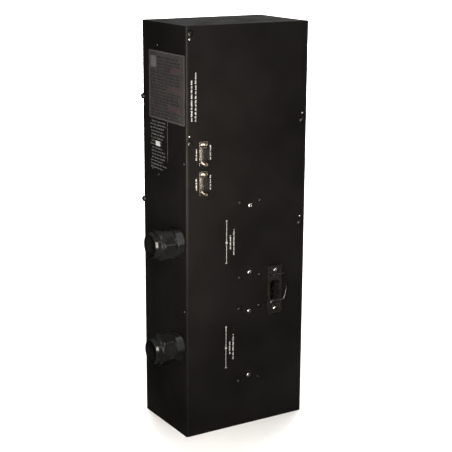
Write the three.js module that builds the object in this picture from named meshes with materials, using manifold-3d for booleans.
// Salt chlorine generator: a tall sheet-metal case with two plate-type electrolytic
// cells behind its front panel, plumbed in series, and their power supply above them.
//
// Millimetres. +Z is up, +X runs to the right along the front, -Y comes out of the front.
// The origin is the centre of the case's footprint, on the plane that it stands on.

import * as THREE from "three";
import { mergeVertices } from "three/addons/utils/BufferGeometryUtils.js";
import Module from "manifold-3d";

const wasm = await Module();
wasm.setup();

// ---------------------------------------------------------------- driving dimensions

const FIT = 0.3; // clearance between neighbouring pieces
const PAST = 1; // how far a cutting shape runs past the faces that it cuts
const LAP = 1; // how far two shapes that are joined run into each other
const SHEET = 2.5; // thickness of every case panel

const CASE = { width: 176, depth: 111.5, height: 520, edgeRadius: 2.3 };
const ANGLE = { leg: 12, thickness: 1.5 }; // steel angles up the four vertical corners

// Water ports on the left side: compression fittings for 26.7 mm (3/4 inch) pipe.
const PORT = {
  fromFront: 18,
  height: { upper: 255, lower: 118.5 },
  nutTurn: { upper: -4, lower: 18 }, // how far each nut was tightened, in degrees
  pipeRadius: 13.35,
  boreRadius: 10.5,
};
const NUT = {
  length: 26.5,
  hexLength: 16.5,
  acrossFlats: 36.8,
  noseRadius: 16.8,
  noseCone: { along: 3.3, inwards: 1.5 }, // the taper at the outer end
  shoulder: 2.5, // length of the cone between the nose and the hex
  wall: 3.4, // the end wall around the pipe
  hexChamfer: { outer: { along: 1.8, inwards: 2.4 }, inner: { along: 1.2, inwards: 1.6 } },
};
const RING_ROOM = 12; // from the nut's outer end to the end of the body's spigot
const BODY = { collar: 1.9, hexLength: 9.7, acrossFlats: 36.4, shankRadius: 12, shankLength: 30 };
const GASKET = { thickness: 2.4, radius: 17 };
const LOCK_NUT = { thickness: 6, acrossFlats: 29 };

// Electrolytic cells, bolted to the back of the front panel.
const CELL = {
  fromLeft: 92,
  height: { upper: 250, lower: 110.5 },
  size: { x: 46, y: 30, z: 116 },
  wall: 3,
  cover: 4,
  cornerRadius: 5,
};
const PLATE = { width: 32, length: 86, thickness: 1, pitch: 4, beyondStud: 6 };
const STUD = { fromCentre: 43.75, radius: 2.6, proud: 7, tapped: 6 };
const LINK = { radius: 11, bore: 8.5, entry: 4 };

// Nine-way D connectors.
const DSUB = {
  fromLeft: 24.3,
  heights: { upper: 366, lower: 329 },
  flange: { x: 12.5, z: 30.8, thickness: 0.9 },
  shell: { x: 8.4, z: 17, height: 6, wall: 0.6, slant: 0.75 },
  cornerRound: 1.6,
  backLength: 9,
  backGrow: 0.6, // how much wider the shell is behind the flange
  screwPitch: 25,
  flangeHole: 1.7,
  panelHole: 1.8,
};
const JACKSCREW = { acrossFlats: 4.75, height: 5, shankRadius: 1.4, thread: 4, socketRadius: 1.25, wall: 2 };

// Power inlet with its cord bail.
const INLET = {
  fromLeft: 129.4,
  height: 178.7,
  flange: { x: 21.6, z: 65, thickness: 3 },
  well: { x: 14.6, z: 25, depth: 16 },
  bodyDepth: 22,
  wall: 2,
  screwPitch: 52,
};
const BLADES = [
  { name: "line", x: -2, z: 7 },
  { name: "earth", x: 2.5, z: 0 },
  { name: "neutral", x: -2, z: -7 },
];
const BLADE = { x: 4, z: 2, tip: 4.5, tail: 28 };
const BAIL = {
  wire: 1.1, // radius of the wire
  leg: 17.5, // half the distance between the legs
  reach: 23.5,
  bow: 3.2,
  bend: 3,
  pivot: { x: -7, z: 2.7 }, // from the inlet's centre
  ear: { thickness: 2.6, x: 2.4, base: 2.2 }, // half width, and depth behind the pivot
  play: 0.4,
};

const SCREW = {
  headRadius: 3.6,
  headHeight: 2.4,
  shankRadius: 1.95,
  clearRadius: 2.3,
  engaged: 5, // length in the thread
};

const LABEL = { depth: 90, bottom: 400.7, top: 485.4, fromFront: 2.4, thickness: 0.4 };

// Flow switch: in the upper port's frame. Its paddle hangs in the port tube from a pin above it.
const FLOW = {
  along: 46,
  slot: { x: 14, y: 6, top: 24 },
  body: { x: 26, y: 20, bottom: 14, top: 32 },
  pinHeight: 19,
  pinRadius: 1.5,
  paddle: { width: 12, bottom: -7, top: 4, thickness: 1.4, stem: 3.6 },
};

// Power supply and control, on a plate in front of the back corner angles.
const CHASSIS = {
  thickness: 2,
  side: 8,
  bottom: 20,
  top: 500,
  bossRadius: 4,
  bossHeight: 6,
  bossInset: 8,
};
const CORE = { x: 76, y: 34, z: 64, leg: 12, fromFloor: 60 };
const BOARD = { x: 110, z: 150, thickness: 1.6, height: 400 };
const SINK = { x: 110, z: 70, base: 4, fins: 7, finHeight: 18, finThickness: 2, height: 275 };
const TERMINALS = { x: 70, y: 14, z: 12, fromBottom: 4 };
const CAPACITOR = { radius: 15, length: 42, x: -30, z: 40 };
const COIL_BULGE = 8; // how far the winding stands out in front of the core

const LEFT = -CASE.width / 2;
const FRONT = -CASE.depth / 2;
const RIGHT = -LEFT;
const BACK = -FRONT;
const INSIDE = SHEET + FIT; // from an outer face to the first piece behind the panel

// ------------------------------------------------------------------------- materials

function material(color, roughness, metalness = 0) {
  return new THREE.MeshStandardMaterial({ color, roughness, metalness });
}

const FINISH = {
  powderCoat: material(0x201f1e, 0.55, 0.2),
  blackPlastic: material(0x141414, 0.35),
  nylon: material(0x1b1b1a, 0.45),
  rubber: material(0x0d0d0d, 0.9),
  stainless: material(0xc9c7c2, 0.3, 1),
  nickel: material(0xbdb5aa, 0.35, 1),
  aluminium: material(0xa9abad, 0.45, 1),
  titanium: material(0x77746f, 0.5, 1),
  oxideCoated: material(0x3b3a3c, 0.7, 0.6),
  brass: material(0xb98f4a, 0.35, 1),
  greyPvc: material(0x6d7073, 0.5),
  greenBoard: material(0x1d4a2c, 0.6),
  label: material(0x6c6864, 0.6),
  lamination: material(0x55555a, 0.6, 0.8),
  copperTape: material(0xa86a2f, 0.5, 0.3),
};

// ------------------------------------------------------------- geometry and assembly

/** A closed three.js geometry as a manifold solid. */
function solid(geometry) {
  const bare = geometry.clone();
  bare.deleteAttribute("normal");
  bare.deleteAttribute("uv");
  const merged = mergeVertices(bare, 1e-4);
  const vertProperties = Float32Array.from(merged.attributes.position.array);
  const triVerts = Uint32Array.from(merged.index.array);
  return new wasm.Manifold(new wasm.Mesh({ numProp: 3, vertProperties, triVerts }));
}

/** A manifold solid as a three.js geometry with flat faces. */
function geometryOf(manifold) {
  const { vertProperties, triVerts } = manifold.getMesh();
  const geometry = new THREE.BufferGeometry();
  geometry.setAttribute("position", new THREE.BufferAttribute(vertProperties, 3));
  geometry.setIndex(new THREE.BufferAttribute(triVerts, 1));
  geometry.computeVertexNormals();
  return geometry;
}

/** The first geometry joined with the others. */
function join(first, ...others) {
  return geometryOf(others.reduce((sum, other) => sum.add(solid(other)), solid(first)));
}

/** The first geometry with the others cut away. */
function cut(first, ...others) {
  return geometryOf(others.reduce((rest, other) => rest.subtract(solid(other)), solid(first)));
}

/** What two geometries share. */
function common(first, second) {
  return geometryOf(solid(first).intersect(solid(second)));
}

/** A box between two corners. */
function block([x0, y0, z0], [x1, y1, z1]) {
  const geometry = new THREE.BoxGeometry(x1 - x0, y1 - y0, z1 - z0);
  return geometry.translate((x0 + x1) / 2, (y0 + y1) / 2, (z0 + z1) / 2);
}

const DIRECTION = {
  x: new THREE.Vector3(1, 0, 0),
  y: new THREE.Vector3(0, 1, 0),
  z: new THREE.Vector3(0, 0, 1),
};

/** A turned piece: [distance along the axis, radius] points, from low to high outside. */
function turned(profile, axis, segments) {
  const points = profile.map(([along, radius]) => new THREE.Vector2(radius, along));
  const turn = new THREE.Quaternion().setFromUnitVectors(DIRECTION.y, DIRECTION[axis]);
  return new THREE.LatheGeometry(points, segments).applyQuaternion(turn);
}

/** A round bar along an axis. */
function rod(radius, from, to, axis, segments = 24) {
  return turned([[from, 0], [from, radius], [to, radius], [to, 0]], axis, segments);
}

/** A tube along an axis. */
function tube(outer, inner, from, to, axis, segments = 24) {
  const ring = [[from, inner], [from, outer], [to, outer], [to, inner], [from, inner]];
  return turned(ring, axis, segments);
}

/** An outline in the Y-Z plane, extruded along X. */
function alongX(outline, from, to) {
  const geometry = new THREE.ExtrudeGeometry(outline, {
    depth: to - from,
    bevelEnabled: false,
    curveSegments: 3,
  });
  const basis = new THREE.Matrix4().makeBasis(DIRECTION.y, DIRECTION.z, DIRECTION.x);
  return geometry.applyMatrix4(basis).translate(from, 0, 0);
}

/** An outline in the X-Z plane, extruded out of the front, from one distance to the other. */
function outOfFront(outline, from, to) {
  const geometry = new THREE.ExtrudeGeometry(outline, {
    depth: to - from,
    bevelEnabled: false,
    curveSegments: 3,
  });
  return geometry.rotateX(Math.PI / 2).translate(0, -from, 0);
}

/** A rectangle with round corners, centred on the origin. */
function roundedRectangle(width, height, radius) {
  const [x, y] = [width / 2, height / 2];
  const shape = new THREE.Shape();
  shape.moveTo(x, -y + radius);
  shape.lineTo(x, y - radius);
  shape.absarc(x - radius, y - radius, radius, 0, Math.PI / 2, false);
  shape.lineTo(-x + radius, y);
  shape.absarc(-x + radius, y - radius, radius, Math.PI / 2, Math.PI, false);
  shape.lineTo(-x, -y + radius);
  shape.absarc(-x + radius, -y + radius, radius, Math.PI, Math.PI * 1.5, false);
  shape.lineTo(x - radius, -y);
  shape.absarc(x - radius, -y + radius, radius, Math.PI * 1.5, Math.PI * 2, false);
  return shape;
}

/** A regular hexagon with a corner at the given angle. */
function hexagon(acrossFlats, degrees = 0) {
  const radius = acrossFlats / 2 / Math.cos(Math.PI / 6);
  const corners = Array.from({ length: 6 }, (_, side) => {
    const angle = THREE.MathUtils.degToRad(degrees) + (side * Math.PI) / 3;
    return new THREE.Vector2(radius * Math.cos(angle), radius * Math.sin(angle));
  });
  return new THREE.Shape(corners);
}

/** A named mesh at a place in its group. */
function part(name, geometry, finish, place = [0, 0, 0]) {
  const mesh = new THREE.Mesh(geometry, finish);
  mesh.name = name;
  mesh.position.set(...place);
  return mesh;
}

/** A group of parts at a place. */
function assembly(parts, place = [0, 0, 0]) {
  const group = new THREE.Group();
  group.add(...parts);
  group.position.set(...place);
  return group;
}

// ------------------------------------------------------------------------------ case

/** Holes right through the front panel: [x, z, radius]. */
function frontPanelHoles() {
  const holes = [];
  for (const height of Object.values(CELL.height)) {
    for (const side of [-1, 1]) {
      holes.push([LEFT + CELL.fromLeft, height + side * STUD.fromCentre, SCREW.clearRadius]);
    }
  }
  for (const height of Object.values(DSUB.heights)) {
    for (const side of [-1, 1]) {
      const z = height + (side * DSUB.screwPitch) / 2;
      holes.push([LEFT + DSUB.fromLeft, z, DSUB.panelHole]);
    }
  }
  for (const side of [-1, 1]) {
    const height = INLET.height + (side * INLET.screwPitch) / 2;
    holes.push([LEFT + INLET.fromLeft, height, SCREW.clearRadius]);
  }
  return holes;
}

function frontPanel() {
  const halfWidth = CASE.width / 2 - INSIDE;
  const sheet = block([-halfWidth, FRONT, 0], [halfWidth, FRONT + SHEET, CASE.height]);
  const [near, far] = [FRONT - PAST, FRONT + SHEET + PAST];
  const cutters = frontPanelHoles().map(([x, z, radius]) =>
    rod(radius, near, far, "y", 12).translate(x, 0, z),
  );
  const window = (x, z, width, height) =>
    block([x - width / 2, near, z - height / 2], [x + width / 2, far, z + height / 2]);
  const room = 2 * DSUB.backGrow + 2 * FIT + 0.2;
  for (const height of Object.values(DSUB.heights)) {
    cutters.push(window(LEFT + DSUB.fromLeft, height, DSUB.shell.x + room, DSUB.shell.z + room));
  }
  const bodyX = INLET.well.x + 2 * INLET.wall + 2 * FIT;
  const bodyZ = INLET.well.z + 2 * INLET.wall + 2 * FIT;
  cutters.push(window(LEFT + INLET.fromLeft, INLET.height, bodyX, bodyZ));
  return cut(sheet, ...cutters);
}

/** A side panel with its long front and back edges rounded, from its outer face inwards. */
function sidePanel(portHeights) {
  const [r, y] = [CASE.edgeRadius, CASE.depth / 2];
  const outline = new THREE.Shape();
  outline.moveTo(SHEET, y);
  outline.lineTo(r, y);
  outline.absarc(r, y - r, r, Math.PI / 2, Math.PI, false);
  outline.lineTo(0, -y + r);
  outline.absarc(r, -y + r, r, Math.PI, Math.PI * 1.5, false);
  outline.lineTo(SHEET, -y);
  const options = { depth: CASE.height, bevelEnabled: false, curveSegments: 4 };
  const sheet = new THREE.ExtrudeGeometry(outline, options);
  const holes = portHeights.map((height) =>
    rod(BODY.shankRadius + FIT, -PAST, SHEET + PAST, "x").translate(0, FRONT + PORT.fromFront, height),
  );
  return holes.length > 0 ? cut(sheet, ...holes) : sheet;
}

function caseShell() {
  const halfWidth = CASE.width / 2 - INSIDE;
  const halfDepth = CASE.depth / 2 - INSIDE;
  const lid = block([-halfWidth, -halfDepth, 0], [halfWidth, halfDepth, SHEET]);
  const back = block([-halfWidth, BACK - SHEET, 0], [halfWidth, BACK, CASE.height]);
  const right = part("right_side_panel", sidePanel([]), FINISH.powderCoat, [RIGHT, 0, 0]);
  right.rotation.z = Math.PI;
  return assembly([
    part("front_panel", frontPanel(), FINISH.powderCoat),
    part("back_panel", back, FINISH.powderCoat),
    part("left_side_panel", sidePanel(Object.values(PORT.height)), FINISH.powderCoat, [LEFT, 0, 0]),
    right,
    part("top_cover", lid, FINISH.powderCoat, [0, 0, CASE.height - SHEET]),
    part("base_plate", lid.clone(), FINISH.powderCoat),
    ...cornerAngles(),
  ]);
}

/** One corner angle, its outer edge on the Z axis and its legs towards +X and +Y. */
function cornerAngle(notchHeights) {
  const { leg, thickness } = ANGLE;
  const outline = new THREE.Shape(
    [[0, 0], [leg, 0], [leg, thickness], [thickness, thickness], [thickness, leg], [0, leg]].map(
      (corner) => new THREE.Vector2(...corner),
    ),
  );
  const depth = CASE.height - 2 * INSIDE;
  const angle = new THREE.ExtrudeGeometry(outline, { depth, bevelEnabled: false });
  angle.translate(0, 0, INSIDE);
  // Where a port comes through, the angle is notched to clear the lock nut.
  const [deep, tall] = [LOCK_NUT.thickness + 2 * FIT, LOCK_NUT.acrossFlats * 0.6];
  const notches = notchHeights.map((z) =>
    block([-PAST, -PAST, z - tall], [deep, leg + PAST, z + tall]),
  );
  return notches.length > 0 ? cut(angle, ...notches) : angle;
}

function cornerAngles() {
  const [x, y] = [CASE.width / 2 - INSIDE, CASE.depth / 2 - INSIDE];
  const corners = [
    { name: "front_left", place: [-x, -y, 0], quarterTurns: 0 },
    { name: "front_right", place: [x, -y, 0], quarterTurns: 1 },
    { name: "back_right", place: [x, y, 0], quarterTurns: 2 },
    { name: "back_left", place: [-x, y, 0], quarterTurns: 3 },
  ];
  return corners.map(({ name, place, quarterTurns }) => {
    const notchHeights = name === "front_left" ? Object.values(PORT.height) : [];
    const mesh = part(`corner_angle_${name}`, cornerAngle(notchHeights), FINISH.powderCoat, place);
    mesh.rotation.z = (quarterTurns * Math.PI) / 2;
    return mesh;
  });
}

// ---------------------------------------------------------------------- water ports
// Each port's frame: origin on the left panel's outer face, on the port's axis.

const BODY_START = -GASKET.thickness - FIT * 2; // panel side of the body's hex
const COLLAR_START = BODY_START - BODY.hexLength;
const NUT_START = COLLAR_START - BODY.collar - FIT;
const NUT_END = NUT_START - NUT.length;

function compressionNut() {
  const { noseRadius, noseCone, shoulder } = NUT;
  const { outer, inner } = NUT.hexChamfer;
  const hexEnd = NUT_START - NUT.hexLength;
  const corner = NUT.acrossFlats / 2 / Math.cos(Math.PI / 6) + FIT;
  const chamfer = turned(
    [
      [hexEnd, 0],
      [hexEnd, corner - outer.inwards],
      [hexEnd + outer.along, corner],
      [NUT_START - inner.along, corner],
      [NUT_START, corner - inner.inwards],
      [NUT_START, 0],
    ],
    "x",
    24,
  );
  const hex = common(alongX(hexagon(NUT.acrossFlats), hexEnd, NUT_START), chamfer);
  const nose = turned(
    [
      [NUT_END, 0],
      [NUT_END, noseRadius - noseCone.inwards],
      [NUT_END + noseCone.along, noseRadius],
      [hexEnd - shoulder, noseRadius],
      [hexEnd + LAP, NUT.acrossFlats / 2 - FIT],
      [hexEnd + LAP, 0],
    ],
    "x",
    24,
  );
  const mouth = rod(PORT.pipeRadius + 0.5, NUT_END - PAST, NUT_START, "x");
  const thread = rod(noseRadius - 0.6, NUT_END + NUT.wall, NUT_START + PAST, "x");
  return cut(join(hex, nose), mouth, thread);
}

function fittingBody() {
  const hex = alongX(hexagon(BODY.acrossFlats), COLLAR_START, BODY_START);
  const collar = rod(NUT.noseRadius + 0.6, COLLAR_START - BODY.collar, COLLAR_START + LAP, "x");
  const spigotEnd = NUT_END + RING_ROOM;
  const spigot = rod(NUT.noseRadius - 1.1, spigotEnd, COLLAR_START, "x");
  const shank = rod(BODY.shankRadius, BODY_START - LAP, BODY.shankLength, "x");
  const bore = rod(PORT.boreRadius, spigotEnd - PAST, BODY.shankLength + PAST, "x");
  const socket = rod(PORT.pipeRadius + 0.15, spigotEnd - PAST, COLLAR_START + 1, "x");
  return cut(join(hex, collar, spigot, shank), bore, socket);
}

/** The rubber ring that the nut squeezes onto the pipe. */
function compressionRing() {
  const outer = NUT.noseRadius - 1;
  const inner = PORT.pipeRadius + 0.1;
  return tube(outer, inner, NUT_END + NUT.wall + FIT, NUT_END + RING_ROOM - FIT, "x");
}

function lockNut() {
  const hex = alongX(hexagon(LOCK_NUT.acrossFlats, 30), 0, LOCK_NUT.thickness);
  const hole = rod(BODY.shankRadius + FIT, -PAST, LOCK_NUT.thickness + PAST, "x");
  return cut(hex, hole).translate(INSIDE, 0, 0);
}

function panelGasket() {
  const inner = BODY.shankRadius + FIT;
  return tube(GASKET.radius, inner, -GASKET.thickness - FIT, -FIT, "x");
}

/** The pipe from a port's shank to its cell, with a socket that fits over the shank. */
function portTube(level) {
  const start = INSIDE + ANGLE.leg + FIT;
  const end = CELL.fromLeft - CELL.size.x / 2 - FIT;
  const socketEnd = BODY.shankLength + 2;
  const outside = join(
    rod(BODY.shankRadius + 2.6, start, socketEnd, "x"),
    rod(BODY.shankRadius + 1.2, socketEnd - LAP, end, "x"),
  );
  const pipe = cut(
    outside,
    rod(BODY.shankRadius + FIT, start - PAST, BODY.shankLength + FIT, "x"),
    rod(PORT.boreRadius, start, end + PAST, "x"),
  );
  return level === "upper" ? cut(pipe, flowSwitchSlot(0)) : pipe;
}

function portFitting(level) {
  const nut = part(`${level}_compression_nut`, compressionNut(), FINISH.nylon);
  nut.rotation.x = THREE.MathUtils.degToRad(PORT.nutTurn[level]);
  return assembly(
    [
      nut,
      part(`${level}_compression_ring`, compressionRing(), FINISH.rubber),
      part(`${level}_fitting_body`, fittingBody(), FINISH.nylon),
      part(`${level}_panel_gasket`, panelGasket(), FINISH.rubber),
      part(`${level}_lock_nut`, lockNut(), FINISH.nylon),
      part(`${level}_port_tube`, portTube(level), FINISH.greyPvc),
    ],
    [LEFT, FRONT + PORT.fromFront, PORT.height[level]],
  );
}

// ---------------------------------------------------------------------- flow switch
// In the upper port's frame.

/** The slot that the paddle swings in, from a height up into the switch's body. */
function flowSwitchSlot(bottom) {
  const { along, slot } = FLOW;
  return block([along - slot.x / 2, -slot.y / 2, bottom], [along + slot.x / 2, slot.y / 2, slot.top]);
}

function flowSwitchBody() {
  const { body, along, pinRadius, pinHeight } = FLOW;
  const shell = block(
    [along - body.x / 2, -body.y / 2, body.bottom],
    [along + body.x / 2, body.y / 2, body.top],
  );
  const pinBore = rod(pinRadius + 0.2, -body.y / 2 - PAST, body.y / 2 - 2, "y", 12);
  return cut(shell, flowSwitchSlot(body.bottom - PAST), pinBore.translate(along, 0, pinHeight));
}

/** The paddle, with its pin's axis on the origin. */
function flowSwitchPaddle() {
  const { width, bottom, top, thickness, stem } = FLOW.paddle;
  const drop = FLOW.pinHeight;
  const blade = block([-thickness / 2, -width / 2, bottom - drop], [thickness / 2, width / 2, top - drop]);
  const arm = block([-thickness, -stem / 2, top - drop - LAP], [thickness, stem / 2, LAP]);
  const pin = rod(FLOW.pinRadius, -FLOW.body.y / 2 + 1, FLOW.body.y / 2 - 3, "y", 12);
  return join(blade, arm, pin);
}

function flowSwitch() {
  return assembly(
    [
      part("flow_switch_body", flowSwitchBody(), FINISH.blackPlastic),
      part("flow_switch_paddle", flowSwitchPaddle(), FINISH.titanium, [FLOW.along, 0, FLOW.pinHeight]),
    ],
    [LEFT, FRONT + PORT.fromFront, PORT.height.upper],
  );
}

// ------------------------------------------------------------------------------ cells
// Each cell's frame: origin on the front panel's outer face, at the cell's centre.

const CELL_FRONT = INSIDE;
const CELL_BACK = CELL_FRONT + CELL.size.y;
const PLATES_Y = CELL_FRONT + CELL.size.y / 2;
const ENDS = [["top", 1], ["bottom", -1]]; // a pair of screws: each one's name and side

function cellHousing(level) {
  const [x, z] = [CELL.size.x / 2, CELL.size.z / 2];
  const inner = [x - CELL.wall, z - CELL.wall];
  const outline = roundedRectangle(2 * x, 2 * z, CELL.cornerRadius);
  const outside = outOfFront(outline, -CELL_BACK, -CELL_FRONT);
  const cavity = outOfFront(
    roundedRectangle(2 * inner[0], 2 * inner[1], CELL.cornerRadius - 2),
    -CELL_BACK - PAST,
    -CELL_FRONT - CELL.wall,
  );
  const portZ = PORT.height[level] - CELL.height[level];
  const port = rod(PORT.boreRadius, -x - PAST, -x + CELL.wall + PAST, "x");
  const link = rod(LINK.radius + FIT, z - CELL.wall - PAST, z + PAST, "z");
  if (level === "upper") link.rotateX(Math.PI); // its link is at the lower end
  const screws = ENDS.map(([, side]) =>
    rod(SCREW.clearRadius, CELL_FRONT - PAST, CELL_FRONT + CELL.wall + PAST, "y", 12).translate(
      0,
      0,
      side * STUD.fromCentre,
    ),
  );
  return cut(
    outside,
    cavity,
    port.translate(0, PORT.fromFront, portZ),
    link.translate(0, PORT.fromFront, 0),
    ...screws,
  );
}

function cellCover() {
  const plate = roundedRectangle(CELL.size.x, CELL.size.z, CELL.cornerRadius);
  const [near, far] = [CELL_BACK + FIT, CELL_BACK + FIT + CELL.cover];
  const holes = ENDS.map(([, side]) =>
    rod(STUD.radius + FIT, near - PAST, far + PAST, "y", 12).translate(0, 0, side * STUD.fromCentre),
  );
  return cut(outOfFront(plate, -far, -near), ...holes);
}

/** Parallel plates on one terminal stud. The stud is at the pack's upper (1) or lower (-1) end. */
function electrodePack(rows, end) {
  const studZ = end * STUD.fromCentre;
  const plateEnd = studZ + end * PLATE.beyondStud;
  const plateStart = plateEnd - end * PLATE.length;
  const [low, high] = [Math.min(plateStart, plateEnd), Math.max(plateStart, plateEnd)];
  const plates = rows.map((row) => {
    const y = PLATES_Y + row * PLATE.pitch;
    const half = PLATE.thickness / 2;
    return block([-PLATE.width / 2, y - half, low], [PLATE.width / 2, y + half, high]);
  });
  const studStart = CELL_FRONT + CELL.wall + FIT;
  const studEnd = CELL_BACK + FIT + CELL.cover + STUD.proud;
  const stud = rod(STUD.radius, studStart, studEnd, "y", 16).translate(0, 0, studZ);
  const tapped = rod(SCREW.shankRadius + 0.15, studStart - PAST, studStart + STUD.tapped, "y", 12);
  return cut(join(stud, ...plates), tapped.translate(0, 0, studZ));
}

/** A pan-head screw with its head out of the front and its seat on the origin. */
function panHeadScrew(length) {
  const { headRadius, headHeight, shankRadius } = SCREW;
  const profile = [
    [-headHeight, 0],
    [-headHeight, headRadius * 0.55],
    [-headHeight * 0.7, headRadius * 0.9],
    [-headHeight * 0.35, headRadius],
    [0, headRadius],
    [0, shankRadius],
    [length, shankRadius],
    [length, 0],
  ];
  return turned(profile, "y", 16);
}

function cell(level) {
  const screwLength = INSIDE + CELL.wall + SCREW.engaged;
  const screws = ENDS.map(([end, side]) =>
    part(`${level}_cell_screw_${end}`, panHeadScrew(screwLength), FINISH.stainless, [
      0,
      -FIT,
      side * STUD.fromCentre,
    ]),
  );
  return assembly(
    [
      part(`${level}_cell_housing`, cellHousing(level), FINISH.greyPvc),
      part(`${level}_cell_cover`, cellCover(), FINISH.greyPvc),
      part(`${level}_anode_pack`, electrodePack([-2, 0, 2], 1), FINISH.oxideCoated),
      part(`${level}_cathode_pack`, electrodePack([-1, 1], -1), FINISH.titanium),
      ...screws,
    ],
    [LEFT + CELL.fromLeft, FRONT, CELL.height[level]],
  );
}

function linkPipe() {
  const low = CELL.height.lower + CELL.size.z / 2 - CELL.wall - LINK.entry;
  const high = CELL.height.upper - CELL.size.z / 2 + CELL.wall + LINK.entry;
  const pipe = tube(LINK.radius, LINK.bore, low, high, "z");
  return part("link_pipe", pipe, FINISH.greyPvc, [LEFT + CELL.fromLeft, FRONT + PORT.fromFront, 0]);
}

// --------------------------------------------------------------------- D connectors
// Each connector's frame: origin on the front panel's outer face, at its centre.

/** The D outline, its long side on the left, grown outwards by the given amount. */
function dOutline(grow = 0) {
  const [x, z] = [DSUB.shell.x / 2 + grow, DSUB.shell.z / 2 + grow];
  const short = z - DSUB.shell.slant * 2;
  const corners = [[-x, -z], [x, -short], [x, short], [-x, z]].map((p) => new THREE.Vector2(...p));
  const shape = new THREE.Shape();
  corners.forEach((point, index) => {
    const before = corners[(index + 3) % 4];
    const after = corners[(index + 1) % 4];
    const into = point.clone().add(before.clone().sub(point).setLength(DSUB.cornerRound));
    const out = point.clone().add(after.clone().sub(point).setLength(DSUB.cornerRound));
    if (index === 0) shape.moveTo(into.x, into.y);
    else shape.lineTo(into.x, into.y);
    shape.quadraticCurveTo(point.x, point.y, out.x, out.y);
  });
  return shape;
}

function dsubShell() {
  const { flange, shell, screwPitch, backLength, backGrow, flangeHole } = DSUB;
  const seat = FIT;
  const top = seat + flange.thickness;
  const plate = outOfFront(roundedRectangle(flange.x, flange.z, 1.2), seat, top);
  const collar = outOfFront(dOutline(), top - 0.1, top + shell.height);
  const backCan = outOfFront(dOutline(backGrow), -backLength / 2, seat + 0.1);
  const bore = outOfFront(dOutline(-shell.wall), -backLength, top + shell.height + PAST);
  const holes = ENDS.map(([, side]) =>
    rod(flangeHole, -top - PAST, PAST, "y", 12).translate(0, 0, (side * screwPitch) / 2),
  );
  return cut(join(plate, collar, backCan), bore, ...holes);
}

function dsubInsulator() {
  const top = FIT + DSUB.flange.thickness + DSUB.shell.height - 0.4;
  return outOfFront(dOutline(-DSUB.shell.wall - FIT), -DSUB.backLength - SHEET, top);
}

function jackscrew() {
  const { acrossFlats, height, shankRadius, thread, socketRadius, wall } = JACKSCREW;
  const seat = -FIT - DSUB.flange.thickness - FIT;
  const hex = outOfFront(hexagon(acrossFlats, 30), -seat, -seat + height);
  const shank = rod(shankRadius, seat - LAP, SHEET + thread, "y", 12);
  const socket = rod(socketRadius, seat - height - PAST, seat - wall, "y", 12);
  return cut(join(hex, shank), socket);
}

function dConnector(level) {
  const screws = ENDS.map(([end, side]) =>
    part(`${level}_data_port_jackscrew_${end}`, jackscrew(), FINISH.nickel, [
      0,
      0,
      (side * DSUB.screwPitch) / 2,
    ]),
  );
  return assembly(
    [
      part(`${level}_data_port_shell`, dsubShell(), FINISH.nickel),
      part(`${level}_data_port_insulator`, dsubInsulator(), FINISH.blackPlastic),
      ...screws,
    ],
    [LEFT + DSUB.fromLeft, FRONT, DSUB.heights[level]],
  );
}

// ---------------------------------------------------------------------- power inlet
// Frame: origin on the front panel's outer face, at the inlet's centre.

const FLANGE_FRONT = FIT + INLET.flange.thickness;
const BAIL_Y = FLANGE_FRONT + BAIL.wire + 0.5; // the bail's axis, out from the panel
const EAR_NEAR = BAIL.leg + BAIL.wire + BAIL.play; // from the bail's middle to an ear

/** The two ears that the bail turns in, in the bail's frame. */
function bailEars() {
  const { x, base, thickness } = BAIL.ear;
  return ENDS.map(([, side]) => {
    const [near, far] = [side * EAR_NEAR, side * (EAR_NEAR + thickness)];
    const low = [-x, -base, Math.min(near, far)];
    return block(low, [x, BAIL_Y - FLANGE_FRONT + LAP / 2, Math.max(near, far)]);
  });
}

/** The holes for the bail's ends, in the bail's frame. */
function bailHoles() {
  const { thickness } = BAIL.ear;
  return ENDS.map(([, side]) => {
    const hole = rod(BAIL.wire + 0.25, -thickness, thickness, "z", 12);
    return hole.translate(0, 0, side * (EAR_NEAR + thickness / 2));
  });
}

function inletBody() {
  const { flange, well, wall, bodyDepth, screwPitch } = INLET;
  const plate = outOfFront(roundedRectangle(flange.x, flange.z, 2.5), FIT, FLANGE_FRONT);
  const bodyOutline = roundedRectangle(well.x + 2 * wall, well.z + 2 * wall, 2);
  const body = outOfFront(bodyOutline, -bodyDepth, FIT + LAP);
  const hollow = outOfFront(roundedRectangle(well.x, well.z, 3), -well.depth, FLANGE_FRONT + PAST);
  const onPivot = (shape) => shape.translate(BAIL.pivot.x, -BAIL_Y, BAIL.pivot.z);
  const screwHoles = ENDS.map(([, side]) =>
    rod(SCREW.clearRadius, -FLANGE_FRONT - PAST, PAST, "y", 12).translate(
      0,
      0,
      (side * screwPitch) / 2,
    ),
  );
  const slots = BLADES.map(({ x, z }) => bladeBlock(FIT, x, z));
  const outside = join(plate, body, ...bailEars().map(onPivot));
  return cut(outside, hollow, ...bailHoles().map(onPivot), ...screwHoles, ...slots);
}

/** A contact blade, or with some growth the slot that holds it. */
function bladeBlock(grow, x, z) {
  const [halfX, halfZ] = [BLADE.x / 2 + grow, BLADE.z / 2 + grow];
  return block([x - halfX, BLADE.tip, z - halfZ], [x + halfX, BLADE.tail + grow, z + halfZ]);
}

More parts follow.
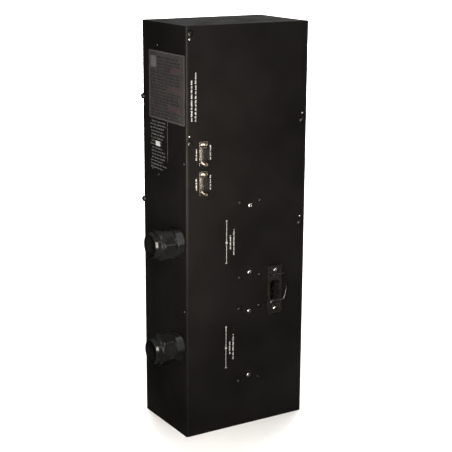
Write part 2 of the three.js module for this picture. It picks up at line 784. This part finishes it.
/** The cord bail in its own frame: origin on its pivot axis, folded flat to the right. */
function cordBail() {
  const { wire, leg, reach, bow, bend, ear, play } = BAIL;
  const shoulder = reach - bow;
  // Centre line of the wire's upper half, as [x, z] points of lines and of round bends.
  const upperHalf = [
    [[0, EAR_NEAR + ear.thickness - play], [0, EAR_NEAR]],
    [[0, EAR_NEAR], [0, leg], [2 * wire, leg]],
    [[2 * wire, leg], [shoulder - bend, leg]],
    [[shoulder - bend, leg], [shoulder, leg], [shoulder + 1, leg - bend]],
    [[shoulder + 1, leg - bend], [reach, leg / 4], [reach, 0]],
  ];
  const lowerHalf = upperHalf.map((points) => points.map(([x, z]) => [x, -z]).reverse()).reverse();
  const path = new THREE.CurvePath();
  for (const points of [...upperHalf, ...lowerHalf]) {
    const [start, ...rest] = points.map(([x, z]) => new THREE.Vector3(x, 0, z));
    const isLine = rest.length === 1;
    path.add(
      isLine ? new THREE.LineCurve3(start, ...rest) : new THREE.QuadraticBezierCurve3(start, ...rest),
    );
  }
  const section = new THREE.Shape().absarc(0, 0, wire, 0, Math.PI * 2);
  return new THREE.ExtrudeGeometry(section, {
    steps: 60,
    curveSegments: 4,
    bevelEnabled: false,
    extrudePath: path,
  });
}

function powerInlet() {
  const screwLength = FLANGE_FRONT + SHEET + SCREW.engaged;
  const screws = ENDS.map(([end, side]) =>
    part(`inlet_screw_${end}`, panHeadScrew(screwLength), FINISH.stainless, [
      0,
      -FLANGE_FRONT - FIT,
      (side * INLET.screwPitch) / 2,
    ]),
  );
  const blades = BLADES.map(({ name, x, z }) =>
    part(`inlet_blade_${name}`, bladeBlock(0, x, z), FINISH.brass),
  );
  return assembly(
    [
      part("power_inlet_body", inletBody(), FINISH.blackPlastic),
      ...blades,
      ...screws,
      part("cord_bail", cordBail(), FINISH.stainless, [BAIL.pivot.x, -BAIL_Y, BAIL.pivot.z]),
    ],
    [LEFT + INLET.fromLeft, FRONT, INLET.height],
  );
}

// ------------------------------------------------------------ power supply and label
// Frame of the chassis pieces: origin on the plate's front face, at floor level.

const CHASSIS_FRONT = BACK - INSIDE - ANGLE.leg - FIT - CHASSIS.thickness;

function chassisPlate() {
  const half = CASE.width / 2 - CHASSIS.side;
  const sheet = block([-half, 0, CHASSIS.bottom], [half, CHASSIS.thickness, CHASSIS.top]);
  const [bossX, bossZ] = [BOARD.x / 2 - CHASSIS.bossInset, BOARD.z / 2 - CHASSIS.bossInset];
  const bosses = [[-1, -1], [-1, 1], [1, -1], [1, 1]].map(([x, z]) => {
    const boss = rod(CHASSIS.bossRadius, -CHASSIS.bossHeight, LAP, "y", 12);
    return boss.translate(x * bossX, 0, BOARD.height + z * bossZ);
  });
  return join(sheet, ...bosses);
}

/** A laminated core with two windows, its back on the chassis plate. */
function transformerCore() {
  const { x, y, z, leg } = CORE;
  const windowWidth = (x - 4 * leg) / 2;
  const outside = block([-x / 2, -y - FIT, 0], [x / 2, -FIT, z]);
  const windows = [-1, 1].map((side) => {
    const centre = side * (leg + windowWidth / 2);
    const [left, right] = [centre - windowWidth / 2, centre + windowWidth / 2];
    return block([left, -y - PAST, leg], [right, PAST, z - leg]);
  });
  return cut(outside, ...windows);
}

function transformerWinding() {
  const { x, y, z, leg } = CORE;
  const windowWidth = (x - 4 * leg) / 2;
  const grow = windowWidth - FIT;
  const [low, high] = [leg + FIT, z - leg - FIT];
  const outside = block([-leg - grow, -y - COIL_BULGE, low], [leg + grow, -FIT, high]);
  const hole = block([-leg - FIT, -y - 2 * FIT, low - PAST], [leg + FIT, PAST, high + PAST]);
  return cut(outside, hole);
}

function heatSink() {
  const base = block([-SINK.x / 2, -SINK.base - FIT, 0], [SINK.x / 2, -FIT, SINK.z]);
  const fins = Array.from({ length: SINK.fins }, (_, index) => {
    const x = (index / (SINK.fins - 1) - 0.5) * (SINK.x - SINK.finThickness);
    const half = SINK.finThickness / 2;
    return block([x - half, -SINK.base - SINK.finHeight, 0], [x + half, -SINK.base, SINK.z]);
  });
  return join(base, ...fins);
}

/** The control board and the pieces on it, round the board's centre. */
function boardPieces() {
  const back = -CHASSIS.bossHeight - FIT;
  const front = back - BOARD.thickness;
  const [x, z] = [BOARD.x / 2, BOARD.z / 2];
  const seat = front - FIT;
  const bottom = -z + TERMINALS.fromBottom;
  const capacitor = rod(CAPACITOR.radius, seat - CAPACITOR.length, seat, "y");
  return {
    board: block([-x, front, -z], [x, back, z]),
    terminals: block(
      [-TERMINALS.x / 2, seat - TERMINALS.y, bottom],
      [TERMINALS.x / 2, seat, bottom + TERMINALS.z],
    ),
    capacitor: capacitor.translate(CAPACITOR.x, 0, CAPACITOR.z),
  };
}

function powerSupply() {
  const { board, terminals, capacitor } = boardPieces();
  const onBoard = [0, 0, BOARD.height];
  return assembly(
    [
      part("chassis_plate", chassisPlate(), FINISH.aluminium),
      part("transformer_core", transformerCore(), FINISH.lamination, [0, 0, CORE.fromFloor]),
      part("transformer_winding", transformerWinding(), FINISH.copperTape, [0, 0, CORE.fromFloor]),
      part("rectifier_heat_sink", heatSink(), FINISH.aluminium, [0, 0, SINK.height - SINK.z / 2]),
      part("control_board", board, FINISH.greenBoard, onBoard),
      part("terminal_block", terminals, FINISH.blackPlastic, onBoard),
      part("smoothing_capacitor", capacitor, FINISH.blackPlastic, onBoard),
    ],
    [0, CHASSIS_FRONT, 0],
  );
}

function cautionLabel() {
  const { depth, bottom, top, fromFront, thickness } = LABEL;
  const outline = roundedRectangle(depth, top - bottom, 2);
  const sheet = alongX(outline, -FIT - thickness, -FIT);
  const place = [LEFT, FRONT + fromFront + depth / 2, (bottom + top) / 2];
  return part("caution_label", sheet, FINISH.label, place);
}

// -------------------------------------------------------------------------- assembly

const generator = assembly([
  caseShell(),
  portFitting("upper"),
  portFitting("lower"),
  flowSwitch(),
  cell("upper"),
  cell("lower"),
  linkPipe(),
  dConnector("upper"),
  dConnector("lower"),
  powerInlet(),
  powerSupply(),
  cautionLabel(),
]);

export default generator;
